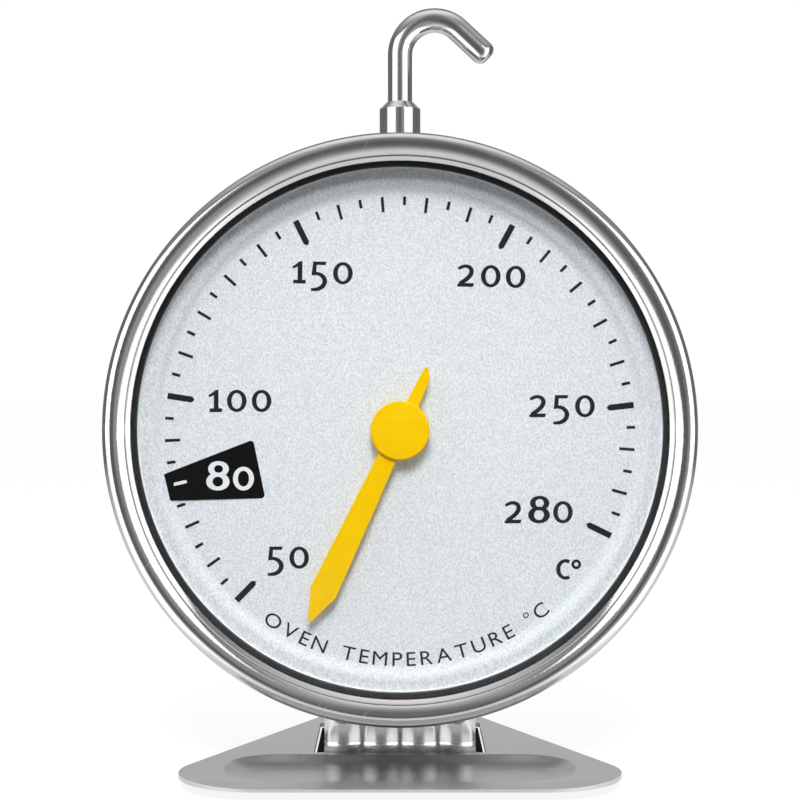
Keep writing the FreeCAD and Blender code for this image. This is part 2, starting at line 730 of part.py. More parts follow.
NODES = (
    bezel_ring,
    glass_lens,
    lens_gasket,
    dial_spacer_ring,
    dial_plate,
    case_cup,
    pointer_blade,
    pointer_hub_cap,
    pointer_spindle,
    spindle_front_bush,
    spindle_rear_bush,
    coil_collet,
    bimetal_coil,
    coil_anchor_post,
    movement_bridge,
    bridge_pillars,
    bridge_screws,
    hook_ferrule,
    hook_wire,
    hook_washer,
    stand_plate,
)

os.makedirs("parts", exist_ok=True)
for node in NODES:
    shape = node()
    shape.exportStep(os.path.join("parts", node.__name__ + ".step"))
    print(node.__name__, len(shape.Solids), shape.isValid(), round(shape.Volume, 2))
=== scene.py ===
"""Looks of the round dial oven thermometer: its visible pieces, materials, light and camera.

Everything is in metres in the frame's own axes: +Z up, the dial faces -Y. Shapes are written in
millimetres and scaled once, in solid(). Depths along the dial's axis run backwards from the
foremost point of the bezel.
"""
import json
import math

import bmesh
import bpy
import numpy as np
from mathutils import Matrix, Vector
from mathutils.geometry import delaunay_2d_cdt

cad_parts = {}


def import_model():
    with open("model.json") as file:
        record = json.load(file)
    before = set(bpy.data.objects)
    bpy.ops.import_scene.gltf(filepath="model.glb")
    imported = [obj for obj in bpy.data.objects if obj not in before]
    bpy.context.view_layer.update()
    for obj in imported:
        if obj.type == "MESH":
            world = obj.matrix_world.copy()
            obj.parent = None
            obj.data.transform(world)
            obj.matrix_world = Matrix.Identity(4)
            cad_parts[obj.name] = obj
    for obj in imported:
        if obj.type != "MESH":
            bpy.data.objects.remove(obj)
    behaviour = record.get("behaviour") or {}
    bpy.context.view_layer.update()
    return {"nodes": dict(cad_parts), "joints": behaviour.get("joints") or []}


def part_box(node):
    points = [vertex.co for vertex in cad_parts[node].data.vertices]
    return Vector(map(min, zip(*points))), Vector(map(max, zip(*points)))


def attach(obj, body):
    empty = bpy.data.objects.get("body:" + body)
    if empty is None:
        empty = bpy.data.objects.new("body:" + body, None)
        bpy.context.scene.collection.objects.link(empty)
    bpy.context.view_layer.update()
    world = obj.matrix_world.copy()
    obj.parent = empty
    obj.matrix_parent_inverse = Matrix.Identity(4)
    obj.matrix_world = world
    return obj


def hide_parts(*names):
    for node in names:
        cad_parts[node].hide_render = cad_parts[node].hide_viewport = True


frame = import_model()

MM = 0.001

# ---- places read from the frame, in millimetres ----
JOINTS = {joint["name"]: joint for joint in frame["joints"]}
DIAL_HEIGHT = JOINTS["pointer_turn"]["pos_m"][2] / MM
HOOK_Y = JOINTS["hook_swivel"]["pos_m"][1] / MM
FRONT_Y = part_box("bezel_ring")[0].y / MM
BEZEL_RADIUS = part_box("bezel_ring")[1].x / MM
LENS_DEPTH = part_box("glass_lens")[0].y / MM - FRONT_Y
GASKET_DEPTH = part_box("lens_gasket")[0].y / MM - FRONT_Y
SPACER_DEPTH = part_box("dial_spacer_ring")[0].y / MM - FRONT_Y
BRIM_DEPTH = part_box("dial_plate")[0].y / MM - FRONT_Y
BUSH_STANDS_PROUD = 0.2
DIAL_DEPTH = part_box("spindle_front_bush")[0].y / MM - FRONT_Y + BUSH_STANDS_PROUD
STACK_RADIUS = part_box("glass_lens")[1].x / MM
BLADE_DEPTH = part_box("pointer_blade")[0].y / MM - FRONT_Y
CAP_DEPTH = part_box("pointer_hub_cap")[0].y / MM - FRONT_Y


# ---- mesh helpers ----
def turn_outward(mesh):
    """Makes every face look out of its solid, which glass needs to bend rays the right way."""
    cage = bmesh.new()
    cage.from_mesh(mesh)
    bmesh.ops.recalc_face_normals(cage, faces=cage.faces)
    cage.to_mesh(mesh)
    cage.free()


def solid(name, points, faces, body, material, stands_for=(), sharp=35):
    """A piece from points in millimetres; edges sharper than the given angle stay crisp."""
    mesh = bpy.data.meshes.new(name)
    mesh.from_pydata([Vector(p) * MM for p in points], [], faces)
    mesh.validate()
    turn_outward(mesh)
    mesh.shade_smooth()
    mesh.set_sharp_from_angle(angle=math.radians(sharp))
    piece = bpy.data.objects.new(name, mesh)
    bpy.context.scene.collection.objects.link(piece)
    mesh.materials.append(material)
    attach(piece, body)
    if stands_for:
        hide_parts(*stands_for)
    return piece


def arc(centre, radius, start, end, steps=12):
    """Points of an arc, both ends included, angles in degrees counter-clockwise from the first axis."""
    angles = np.radians(np.linspace(start, end, steps + 1))
    return [(centre[0] + radius * math.cos(a), centre[1] + radius * math.sin(a)) for a in angles]


def rounded(corners, radii, steps=5):
    """Closed outline of straight runs with a tangent arc at each corner; radius 0 keeps it sharp."""
    outline = []
    count = len(corners)
    for i, radius in enumerate(radii):
        here = Vector(corners[i])
        if radius == 0:
            outline.append(tuple(here))
            continue
        back = (Vector(corners[i - 1]) - here).normalized()
        ahead = (Vector(corners[(i + 1) % count]) - here).normalized()
        half = back.angle(ahead) / 2
        reach = radius / math.tan(half)
        centre = here + (back + ahead).normalized() * (radius / math.sin(half))
        first = here + back * reach - centre
        sweep = math.pi - 2 * half
        turn = 1 if back.x * ahead.y - back.y * ahead.x < 0 else -1
        for k in range(steps + 1):
            angle = turn * sweep * k / steps
            cos, sin = math.cos(angle), math.sin(angle)
            spoke = Vector((first.x * cos - first.y * sin, first.x * sin + first.y * cos))
            outline.append(tuple(centre + spoke))
    return outline


def skin(near, far):
    """Faces between two rings of point numbers; a ring that is one point repeated gives triangles."""
    faces = []
    for k in range(len(near)):
        n = (k + 1) % len(near)
        ring = [near[k], near[n], far[n], far[k]]
        faces.append([v for j, v in enumerate(ring) if v not in ring[:j]])
    return faces


def lathe(profile, segments=360):
    """Points and faces of a closed (radius, depth) profile turned about the dial's axis."""
    points, faces, rows = [], [], []
    for radius, depth in profile:
        y = FRONT_Y + depth
        if radius == 0:
            rows.append([len(points)] * segments)
            points.append((0, y, DIAL_HEIGHT))
            continue
        rows.append(list(range(len(points), len(points) + segments)))
        for k in range(segments):
            angle = 2 * math.pi * k / segments
            points.append((radius * math.cos(angle), y, DIAL_HEIGHT + radius * math.sin(angle)))
    for near, far in zip(rows, rows[1:] + rows[:1]):
        if near[0] == near[1] and far[0] == far[1]:
            continue
        faces += skin(near, far)
    return points, faces


def signed_area(polygon):
    """Area of a flat polygon, positive when it runs counter-clockwise."""
    ahead = polygon[1:] + polygon[:1]
    return sum(a[0] * b[1] - b[0] * a[1] for a, b in zip(polygon, ahead)) / 2


def sheet_solid(polygons, front, thickness, place):
    """Closed solids over the union of flat polygons; place(x, h, depth) gives each point's place."""
    corners, loops = [], []
    for polygon in polygons:
        if signed_area(polygon) < 0:
            polygon = polygon[::-1]
        loops.append(list(range(len(corners), len(corners) + len(polygon))))
        corners += [Vector(p) for p in polygon]
    flat, _, cells, _, _, origins = delaunay_2d_cdt(corners, [], loops, 1, 1e-6)
    covered = [cell for cell, origin in zip(cells, origins) if len(origin) > 0]
    used = sorted({v for cell in covered for v in cell})
    index = {v: i for i, v in enumerate(used)}
    count = len(used)
    points = [place(*flat[v], front) for v in used]
    points += [place(*flat[v], front + thickness) for v in used]
    faces = []
    border = {}
    for cell in covered:
        ring = [index[v] for v in cell]
        faces.append(ring)
        faces.append([v + count for v in reversed(ring)])
        for a, b in zip(ring, ring[1:] + ring[:1]):
            if (b, a) in border:
                del border[(b, a)]
            else:
                border[(a, b)] = True
    for a, b in border:
        faces.append([b, a, a + count, b + count])
    return points, faces


def on_dial(x, h, depth):
    """Place of a point x right of the dial's centre and h above it."""
    return (x, FRONT_Y + depth, DIAL_HEIGHT + h)


# ---- materials ----
class Tree:
    """Short names for the nodes of one node tree."""

    def __init__(self, tree):
        self.tree = tree

    def new(self, kind):
        return self.tree.nodes.new(kind)

    def link(self, source, socket):
        self.tree.links.new(source, socket)

    def maths(self, operation, *values):
        node = self.new("ShaderNodeMath")
        node.operation = operation
        for socket, value in zip(node.inputs, values):
            if isinstance(value, (int, float)):
                socket.default_value = value
            else:
                self.link(value, socket)
        return node.outputs["Value"]

    def range(self, value, low, high, to_low, to_high):
        """The value's range from low to high mapped onto another, clamped."""
        node = self.new("ShaderNodeMapRange")
        self.link(value, node.inputs["Value"])
        limits = {"From Min": low, "From Max": high, "To Min": to_low, "To Max": to_high}
        for key, number in limits.items():
            node.inputs[key].default_value = number
        return node.outputs["Result"]

    def ramp(self, value, *stops):
        """Colour ramp through (position, (r, g, b)) stops."""
        node = self.new("ShaderNodeValToRGB")
        self.link(value, node.inputs["Fac"])
        ramp = node.color_ramp
        while len(ramp.elements) < len(stops):
            ramp.elements.new(0.5)
        for element, (position, colour) in zip(ramp.elements, stops):
            element.position = position
            element.color = (*colour, 1)
        return node.outputs["Color"]

    def greys(self, value, low, high, stops):
        """Grey ramp through (value, grey) stops between two values."""
        share = self.range(value, low, high, 0.0, 1.0)
        return self.ramp(share, *[((v - low) / (high - low), (grey,) * 3) for v, grey in stops])

    def blend(self, share, first, second):
        """Colour that goes from the first to the second with the share."""
        node = self.new("ShaderNodeMix")
        node.data_type = "RGBA"
        self.link(share, node.inputs[0])
        self.link(first, node.inputs[6])
        self.link(second, node.inputs[7])
        return node.outputs[2]

    def azimuth(self, x, y):
        """Degrees round the vertical axis from the dial's side, positive to the right."""
        turn = self.maths("ARCTAN2", x, self.maths("MULTIPLY", y, -1.0))
        return self.maths("MULTIPLY", turn, 180 / math.pi)


class Nodes(Tree):
    """The shader nodes of one material."""

    def __init__(self, name):
        self.material = bpy.data.materials.new(name)
        self.material.use_nodes = True
        super().__init__(self.material.node_tree)
        self.shader = self.tree.nodes["Principled BSDF"]
        self.output = self.tree.nodes["Material Output"]
        self.place = self.new("ShaderNodeTexCoord").outputs["Object"]

    def noise(self, size, detail=2.0, rough=0.5, stretch=(1, 1, 1), turn=(0, 0, 0)):
        """Noise with features about size millimetres, longer along an axis with a larger stretch."""
        mapping = self.new("ShaderNodeMapping")
        mapping.vector_type = "TEXTURE"
        mapping.inputs["Rotation"].default_value = [math.radians(a) for a in turn]
        mapping.inputs["Scale"].default_value = [size * MM * s for s in stretch]
        self.link(self.place, mapping.inputs["Vector"])
        noise = self.new("ShaderNodeTexNoise")
        noise.inputs["Scale"].default_value = 1.0
        noise.inputs["Detail"].default_value = detail
        noise.inputs["Roughness"].default_value = rough
        self.link(mapping.outputs["Vector"], noise.inputs["Vector"])
        return noise.outputs["Fac"]

    def bump(self, height, distance, strength=1.0, after=None):
        """Bump of a height field whose full swing is distance millimetres."""
        node = self.new("ShaderNodeBump")
        node.inputs["Distance"].default_value = distance * MM
        node.inputs["Strength"].default_value = strength
        self.link(height, node.inputs["Height"])
        if after is not None:
            self.link(after, node.inputs["Normal"])
        return node.outputs["Normal"]

    def set(self, **values):
        for key, value in values.items():
            socket = self.shader.inputs[key.replace("_", " ")]
            if isinstance(value, (int, float)):
                socket.default_value = value
            elif isinstance(value, tuple):
                socket.default_value = (*value, 1)
            else:
                self.link(value, socket)
        return self.material


def steel(name, tint, rough, grain=0.0, grain_turn=(0, 0, 0), grain_size=0.1, blotch=0.03):
    """Stainless steel: rolled grain along local Z, soft blotches, hairline scratches."""
    m = Nodes(name)
    hair = m.noise(0.35, 1.0, 0.5, (1, 1, 40), (17, 23, 31))
    scratch = m.range(hair, 0.72, 0.76, 0.0, 1.0)
    cloud = m.noise(6.0, 3.0)
    worn = m.range(cloud, 0.3, 0.7, rough - blotch, rough + blotch)
    roughness = m.maths("ADD", worn, m.maths("MULTIPLY", scratch, 0.12))
    dark = tuple(c * 0.93 for c in tint)
    colour = m.ramp(cloud, (0.3, dark), (0.7, tint))
    normal = None
    if grain:
        fine = m.noise(grain_size, 2.0, 0.6, (1, 1, 9), grain_turn)
        normal = m.bump(fine, 0.01 * grain)
    normal = m.bump(scratch, 0.0015, after=normal)
    return m.set(Metallic=1.0, Base_Color=colour, Roughness=roughness, Normal=normal)


def stand_steel():
    """Stamped sheet: satin on the foot plate, polished on the upright tab and its flutes."""
    m = Nodes("stand_steel")
    height = m.new("ShaderNodeSeparateXYZ")
    m.link(m.place, height.inputs[0])
    cloud = m.noise(5.0, 3.0)
    satin = m.range(cloud, 0.3, 0.7, 0.32, 0.37)
    polish = m.range(height.outputs["Z"], 1.5 * MM, 2.6 * MM, 1.0, 0.26)
    fine = m.noise(0.1, 2.0, 0.6, (9, 1, 1))
    speck = m.range(m.noise(0.5, 2.0, 0.6), 0.7, 0.74, 0.0, 1.0)
    roughness = m.maths("MULTIPLY", m.maths("ADD", satin, m.maths("MULTIPLY", speck, 0.1)), polish)
    colour = m.ramp(cloud, (0.3, (0.61, 0.615, 0.625)), (0.7, (0.66, 0.665, 0.67)))
    normal = m.bump(speck, 0.002, after=m.bump(fine, 0.003))
    return m.set(Metallic=1.0, Base_Color=colour, Roughness=roughness, Normal=normal)


def coated(name, colour, rough, texture=0.2, height=0.004, vary=0.06, sheen=0.5):
    """Painted, printed or moulded surface with a fine orange-peel and slight colour change."""
    m = Nodes(name)
    peel = m.noise(texture, 2.0)
    cloud = m.noise(3.0, 3.0)
    pale = tuple(min(1.0, c * (1 + vary)) for c in colour)
    deep = tuple(c * (1 - vary) for c in colour)
    tone = m.ramp(cloud, (0.3, deep), (0.7, pale))
    worn = m.range(cloud, 0.3, 0.7, rough * 0.9, rough * 1.1)
    return m.set(
        Base_Color=tone,
        Roughness=worn,
        Normal=m.bump(peel, height),
        Specular_IOR_Level=sheen,
    )


def silver_paint():
    """Silver flake paint of the dial: bluish grey with a fine sparkle and a faint mottle."""
    m = Nodes("dial_silver_paint")
    flake = m.noise(0.13, 0.0, 0.5, (1, 1, 1.8))
    grit = m.noise(0.22, 1.0, 0.6)
    mottle = m.noise(1.2, 2.0, 0.6)
    mixed = m.maths("ADD", m.maths("MULTIPLY", flake, 0.55), m.maths("MULTIPLY", grit, 0.37))
    mixed = m.maths("ADD", mixed, m.maths("MULTIPLY", mottle, 0.08))
    stops = [(0.36, (0.66, 0.70, 0.76)), (0.5, (0.78, 0.82, 0.87)), (0.64, (0.90, 0.93, 0.97))]
    return m.set(
        Base_Color=m.ramp(mixed, *stops),
        Roughness=m.range(flake, 0.3, 0.7, 0.6, 0.45),
        Specular_IOR_Level=0.1,
        Normal=m.bump(mixed, 0.014, 0.6),
    )


def clear_glass():
    """Window glass that lets lamps through."""
    m = Nodes("window_glass")
    wipe = m.range(m.noise(4.0, 3.0), 0.45, 0.75, 0.0, 0.03)
    m.set(Base_Color=(0.98, 0.985, 0.98), Roughness=wipe, Transmission_Weight=1.0, IOR=1.3)
    through = m.new("ShaderNodeBsdfTransparent")
    through.inputs["Color"].default_value = (0.97, 0.975, 0.97, 1)
    path = m.new("ShaderNodeLightPath")
    mix = m.new("ShaderNodeMixShader")
    m.link(path.outputs["Is Shadow Ray"], mix.inputs[0])
    m.link(m.shader.outputs[0], mix.inputs[1])
    m.link(through.outputs[0], mix.inputs[2])
    m.link(mix.outputs[0], m.output.inputs["Surface"])
    return m.material


def two_metal_strip():
    """Bimetal strip: brass tone with heat tints along it."""
    m = Nodes("bimetal_strip")
    band = m.noise(1.2, 2.0)
    colour = m.ramp(band, (0.35, (0.62, 0.48, 0.30)), (0.65, (0.66, 0.60, 0.50)))
    grain = m.noise(0.06, 2.0, 0.6, (12, 1, 12))
    return m.set(Metallic=1.0, Base_Color=colour, Roughness=0.32, Normal=m.bump(grain, 0.003))


STEEL_TINT = (0.62, 0.615, 0.61)
BEZEL_STEEL = steel("bezel_bright_steel", STEEL_TINT, 0.11, grain=0.45, grain_turn=(0, 12, 0))
CASE_STEEL = steel("case_satin_steel", (0.56, 0.555, 0.55), 0.27, grain=0.4)
STAND_STEEL = stand_steel()
HOOK_STEEL = steel("hook_wire_steel", STEEL_TINT, 0.12, grain=0.15)
PART_STEEL = steel("movement_dull_steel", (0.52, 0.52, 0.53), 0.3, grain=0.3)
# Near-white matt coat on the spacer: painted highlight in place of the bright reflection of its metal
# edge.
SPACER_HIGHLIGHT_WHITE = coated("spacer_painted_highlight", (0.93, 0.94, 0.95), 0.35, 0.1, 0.002, 0.03)
BRASS = steel("movement_brass", (0.78, 0.60, 0.32), 0.25, grain=0.2)
BIMETAL = two_metal_strip()
RUBBER = coated("gasket_black_rubber", (0.030, 0.031, 0.033), 0.6, 0.15, 0.006, 0.2, sheen=0.2)
DIAL_PAINT = silver_paint()
YELLOW = coated("pointer_yellow_enamel", (1.0, 0.61, 0.0), 0.55, 0.3, 0.003, 0.03, sheen=0.0)
INK = coated("dial_black_ink", (0.016, 0.017, 0.018), 0.7, 0.12, 0.003, 0.15, sheen=0.05)
TAG_INK = coated("tag_black_ink", (0.004, 0.004, 0.0035), 0.7, 0.12, 0.003, 0.15, sheen=0.02)
WHITE_INK = coated("dial_white_ink", (0.86, 0.89, 0.93), 0.5, 0.12, 0.003, 0.04)
GLASS = clear_glass()


def carry_over(material, *names):
    """Puts a material on CAD nodes that stay as they are."""
    for name in names:
        slots = frame["nodes"][name].material_slots
        for slot in slots:
            slot.material = material


carry_over(CASE_STEEL, "case_cup")
carry_over(STAND_STEEL, "stand_plate")
carry_over(BRASS, "spindle_front_bush", "spindle_rear_bush", "coil_collet", "bridge_pillars")
carry_over(BIMETAL, "bimetal_coil")
carry_over(PART_STEEL, "pointer_spindle", "coil_anchor_post", "movement_bridge", "bridge_screws")
carry_over(HOOK_STEEL, "hook_washer", "hook_ferrule")


# ---- bezel, lens, gasket and spacer ----
BEAD = 1.0
CREST_RADIUS = BEZEL_RADIUS - BEAD
CREST_SLOPE = 2.0
CREST_TILT = 40.0
BEZEL_SHEET = 0.45
LIP_RADIUS = 27.15
LIP_DEPTH = 0.92
LIP_BACK = 1.3
CURL_DEPTH = 1.6
CURL_RADIUS = 1.15
CURL_INSIDE = 0.55
HEM_DEPTH = 2.32
GASKET_INNER = 26.7
SPACER_INNER = 26.57
SPACER_CHAMFER = 0.17
SPACER_CHAMFER_DEPTH = 0.06


def bezel():
    """Rolled rim: sloped lip, a fine groove, the slope up to the crest, the round bead, the curl."""
    crest, slope = CREST_RADIUS, CREST_SLOPE
    foot = 270 - CREST_TILT
    start = arc((crest, slope), slope, foot, 270, 1)[0]
    groove = (start[0] - 0.07, start[1] + 0.13)
    lip_top = (start[0] - 0.16, start[1] + 0.12)
    lip_corners = [(LIP_RADIUS, LIP_BACK), (LIP_RADIUS, LIP_DEPTH), lip_top, groove]
    profile = rounded(lip_corners, [0, 0.12, 0.03, 0.02], 6)
    profile += arc((crest, slope), slope, foot, 270, 36)
    profile += arc((crest, BEAD), BEAD, 270, 360, 28)[1:]
    profile += [(30.0, LIP_BACK), (30.0, CURL_DEPTH)]
    profile += arc((28.85, CURL_DEPTH), CURL_RADIUS, 0, 88, 14)[1:]
    profile += [(28.83, HEM_DEPTH), (29.15, HEM_DEPTH)]
    profile += arc((29.0, 1.7), CURL_INSIDE, 60, 0, 6)
    profile += arc((crest, BEAD), BEAD - BEZEL_SHEET, 0, -90, 10)
    profile += arc((crest, slope), slope - BEZEL_SHEET, 270, 207, 10)[1:]
    points, faces = lathe(profile, 480)
    solid("bezel_ring_bright", points, faces, "case", BEZEL_STEEL, ["bezel_ring"], 40)


def lens():
    """Flat window glass with ground edges."""
    edge = 0.2
    back = GASKET_DEPTH
    corners = [(0, LENS_DEPTH), (STACK_RADIUS, LENS_DEPTH), (STACK_RADIUS, back), (0, back)]
    points, faces = lathe(rounded(corners, [0, edge, edge, 0]), 240)
    solid("glass_window", points, faces, "case", GLASS, ["glass_lens"])


def gasket():
    """Black ring between the glass and the spacer, with rounded corners."""
    inner, outer = GASKET_INNER, STACK_RADIUS
    front, back = GASKET_DEPTH, SPACER_DEPTH
    corners = [(inner, front), (outer, front), (outer, back), (inner, back)]
    points, faces = lathe(rounded(corners, [0.1, 0.1, 0.1, 0.1], 6), 360)
    solid("gasket_ring", points, faces, "case", RUBBER, ["lens_gasket"])


def spacer():
    """Pressed ring painted near-white and matt, so its chamfered inner edge shows inside the gasket as
    a bright line: a painted highlight standing in for lit metal.
    """
    inner, outer = SPACER_INNER, STACK_RADIUS
    edge = [(inner, SPACER_DEPTH + SPACER_CHAMFER_DEPTH), (inner + SPACER_CHAMFER, SPACER_DEPTH)]
    corners = edge + [(outer, SPACER_DEPTH), (outer, BRIM_DEPTH), (inner, BRIM_DEPTH)]
    points, faces = lathe(rounded(corners, [0.03, 0.05, 0.05, 0.05, 0.03], 5), 360)
    solid("spacer_ring_bright", points, faces, "case", SPACER_HIGHLIGHT_WHITE, ["dial_spacer_ring"])


# ---- dial ----
FLAT_RADIUS = 23.85
BRIM_RADIUS = 25.75
DIAL_SHEET = 0.35
SPINDLE_HOLE = 1.5
DIAL_STEP = DIAL_DEPTH - BRIM_DEPTH
STEP_RUN = BRIM_RADIUS - FLAT_RADIUS
STEP_BEND = (STEP_RUN**2 + DIAL_STEP**2) / (4 * DIAL_STEP)


def dial():
    """Flat dial with a shallow step, two arcs that meet half way, up to its brim."""
    bend = STEP_BEND
    tilt = math.degrees(math.asin(STEP_RUN / 2 / bend))
    face = [(radius, DIAL_DEPTH) for radius in (SPINDLE_HOLE, 8.0, 16.0)]
    face += arc((FLAT_RADIUS, DIAL_DEPTH - bend), bend, 90, 90 - tilt, 10)
    face += arc((BRIM_RADIUS, BRIM_DEPTH + bend), bend, 270 - tilt, 270, 10)[1:]
    face += [(STACK_RADIUS, BRIM_DEPTH)]
    behind = [(radius, depth + DIAL_SHEET) for radius, depth in reversed(face)]
    points, faces = lathe(face + behind, 360)
    solid("dial_face", points, faces, "case", DIAL_PAINT, ["dial_plate"], 40)


# ---- print on the dial ----
INK_THICKNESS = 0.015
PRINT_SCALE = 1.01
PRINT_DROP = 0.21
FIGURE_HEIGHT = 2.24
LETTER_STRETCH = 1.12
CAPITAL_SHARE = 0.73
SCALE_RADIUS = 23.75
SCALE_FIRST = 50
SCALE_LAST = 280
SCALE_START = 225.84
SCALE_STEP = 1.0957
TAG_CELSIUS = 80


def stroke(points, widths):
    """Ribbon polygons along a smooth line through control points, with a width at each of them."""
    line = smooth(points)
    marks = np.linspace(0, 1, len(widths))
    sides = [[], []]
    for i, (x, y) in enumerate(line):
        before = line[max(i - 1, 0)]
        after = line[min(i + 1, len(line) - 1)]
        dx, dy = after[0] - before[0], after[1] - before[1]
        length = math.hypot(dx, dy)
        half = np.interp(i / (len(line) - 1), marks, widths) / 2
        sides[0].append((x - dy / length * half, y + dx / length * half))
        sides[1].append((x + dy / length * half, y - dx / length * half))
    return sides[0] + sides[1][::-1]


def smooth(points, steps=10):
    """Catmull-Rom curve through the points."""
    line = []
    padded = [points[0], *points, points[-1]]
    for i in range(1, len(padded) - 2):
        p0, p1, p2, p3 = [np.array(p) for p in padded[i - 1 : i + 3]]
        for t in np.linspace(0, 1, steps, endpoint=False):
            curve = 2 * p1 + (p2 - p0) * t + (2 * p0 - 5 * p1 + 4 * p2 - p3) * t**2
            line.append(tuple(0.5 * (curve + (3 * p1 - p0 - 3 * p2 + p3) * t**3)))
    return line + [points[-1]]


def arc_stroke(centre, rx, ry, start, end, side, top, steps=36):
    """Elliptic stroke whose width goes from side, where it runs upright, to top."""
    outer, inner = [], []
    for k in range(steps + 1):
        angle = math.radians(start + (end - start) * k / steps)
        cos, sin = math.cos(angle), math.sin(angle)
        half = (side * cos**2 + top * sin**2) / 2
        outer.append((centre[0] + (rx + half) * cos, centre[1] + (ry + half) * sin))
        inner.append((centre[0] + (rx - half) * cos, centre[1] + (ry - half) * sin))
    return outer + inner[::-1]


def ring_strokes(centre, width, height, side, top):
    """Closed elliptic stroke as two halves that share their ends."""
    rx, ry = (width - side) / 2, (height - top) / 2
    halves = ((0, 180), (180, 360))
    return [arc_stroke(centre, rx, ry, start, end, side, top) for start, end in halves]


def figure(character, side, top):
    """Strokes of one old-style figure, in units of the height of its 0, and how far it advances."""
    if character == "0":
        return ring_strokes((0.4425, 0.5), 0.885, 1.0, side, top), 1.12
    if character == "1":
        stem = [(0.25, 0.0), (0.46, 0.0), (0.46, 1.0), (0.36, 1.0), (0.25, 0.95)]
        serif = [(0.06, 0.0), (0.62, 0.0), (0.62, 0.165), (0.06, 0.165)]
        flag = [(0.0, 0.75), (0.03, 0.68), (0.10, 0.68), (0.30, 0.78), (0.38, 1.0), (0.36, 1.0)]
        return [stem, serif, flag], 0.84
    if character == "2":
        line = [(0.035, 0.80), (0.20, 0.89), (0.38, 0.925), (0.56, 0.86)]
        line += [(0.635, 0.70), (0.58, 0.52), (0.40, 0.33), (0.10, 0.12)]
        bowl = stroke(line, [0.13, 0.15, 0.155, 0.18, 0.20, 0.20, 0.19, 0.18])
        foot = [(0.0, 0.0), (0.71, 0.0), (0.765, 0.165), (0.2, 0.165), (0.0, 0.12)]
        return [bowl, foot], 1.06
    if character == "5":
        bar = [(0.10, 1.0), (0.70, 1.0), (0.665, 0.85), (0.27, 0.85), (0.10, 0.9)]
        stem = [(0.10, 1.0), (0.28, 1.0), (0.24, 0.44), (0.04, 0.37)]
        line = [(0.05, 0.44), (0.25, 0.465), (0.45, 0.41), (0.60, 0.26)]
        line += [(0.635, 0.08), (0.54, -0.11), (0.32, -0.235), (0.02, -0.26)]
        bowl = stroke(line, [0.14, 0.15, 0.17, 0.20, 0.215, 0.20, 0.17, 0.12])
        return [bar, stem, bowl], 1.005
    if character == "8":
        wide = side + 0.06
        upper = ring_strokes((0.52, 0.91), 0.87, 0.66, wide - 0.02, top)
        lower = ring_strokes((0.49, 0.375), 0.98, 0.75, wide, top)
        return upper + lower, 1.127
    if character == "C":
        return [arc_stroke((0.42, 0.46), 0.325, 0.39, 58, 302, 0.19, 0.15)], 0.74
    return ring_strokes((0.21, 0.69), 0.44, 0.44, 0.125, 0.125), 0.5


def figures(text, left, baseline, unit=FIGURE_HEIGHT, tilt=0.0, side=0.21, top=0.145):
    """Polygons of a row of figures in dial coordinates."""
    polygons = []
    cos, sin = math.cos(math.radians(tilt)), math.sin(math.radians(tilt))
    pen = 0.0
    for character in text:
        strokes, advance = figure(character, side, top)
        for outline in strokes:
            flat = [((pen + x) * unit, y * unit) for x, y in outline]
            turned = [(x * cos - y * sin, x * sin + y * cos) for x, y in flat]
            polygons.append([(left + x, baseline + y) for x, y in turned])
        pen += advance
    return polygons


def on_print(x, h, depth):
    """Place on the printed artwork, a little low on the dial and following the foot of its step."""
    x, h = x * PRINT_SCALE, h * PRINT_SCALE - PRINT_DROP
    beyond = max(math.hypot(x, h) - FLAT_RADIUS, 0)
    return on_dial(x, h, depth - beyond**2 / (2 * STEP_BEND))


def printed(name, polygons, material, level=0):
    """Ink a hair proud of the dial; a higher level lies on top of a lower one."""
    front = DIAL_DEPTH - INK_THICKNESS * (level + 1)
    points, faces = sheet_solid(polygons, front, INK_THICKNESS, on_print)
    return solid(name, points, faces, "case", material, ())


def scale_angle(celsius):
    """Direction of a temperature on the dial, in radians from the right, counter-clockwise."""
    return math.radians(SCALE_START - (celsius - SCALE_FIRST) * SCALE_STEP)


def scale_mark(celsius, length, width, point=0.0):
    """One tick, from the scale's outer circle inwards, with an optional pointed inner end."""
    angle = scale_angle(celsius)
    outline = [
        (SCALE_RADIUS, -width / 2),
        (SCALE_RADIUS, width / 2),
        (SCALE_RADIUS - length + point, width / 2),
        (SCALE_RADIUS - length, 0),
        (SCALE_RADIUS - length + point, -width / 2),
    ]
    cos, sin = math.cos(angle), math.sin(angle)
    return [(r * cos - t * sin, r * sin + t * cos) for r, t in outline]


def scale():
    """A mark every 5 degrees, longer at every 10 and bold at the numbers."""
    bold = (50, 100, 150, 200, 250, 280)
    line = 0.3
    marks = []
    for celsius in range(SCALE_FIRST, SCALE_LAST + 1, 5):
        if celsius == TAG_CELSIUS:
            continue
        if celsius in bold:
            marks.append(scale_mark(celsius, 2.77, 0.61, 0.3))
        elif celsius % 10 == 0:
            marks.append(scale_mark(celsius, 1.54, line))
        else:
            marks.append(scale_mark(celsius, 0.87, line))
    printed("scale_marks", marks, INK)


def numerals():
    """Old-style numbers of the scale, each with its left end, baseline and tilt, and the unit."""
    rows = [
        ("50", -13.44, -13.80, 0.0),
        ("100", -19.35, 2.05, 0.0),
        ("150", -10.90, 15.02, -1.2),
        ("200", 5.75, 14.70, -1.5),
        ("250", 13.05, 1.52, 0.0),
        ("280", 10.58, -9.20, 0.0),
    ]
    polygons = []
    for text, left, baseline, tilt in rows:
        polygons += figures(text, left, baseline, tilt=tilt)
    polygons += figures("C", 15.80, -14.90)
    polygons += figures("o", 17.36, -14.90)
    printed("scale_numerals", polygons, INK)


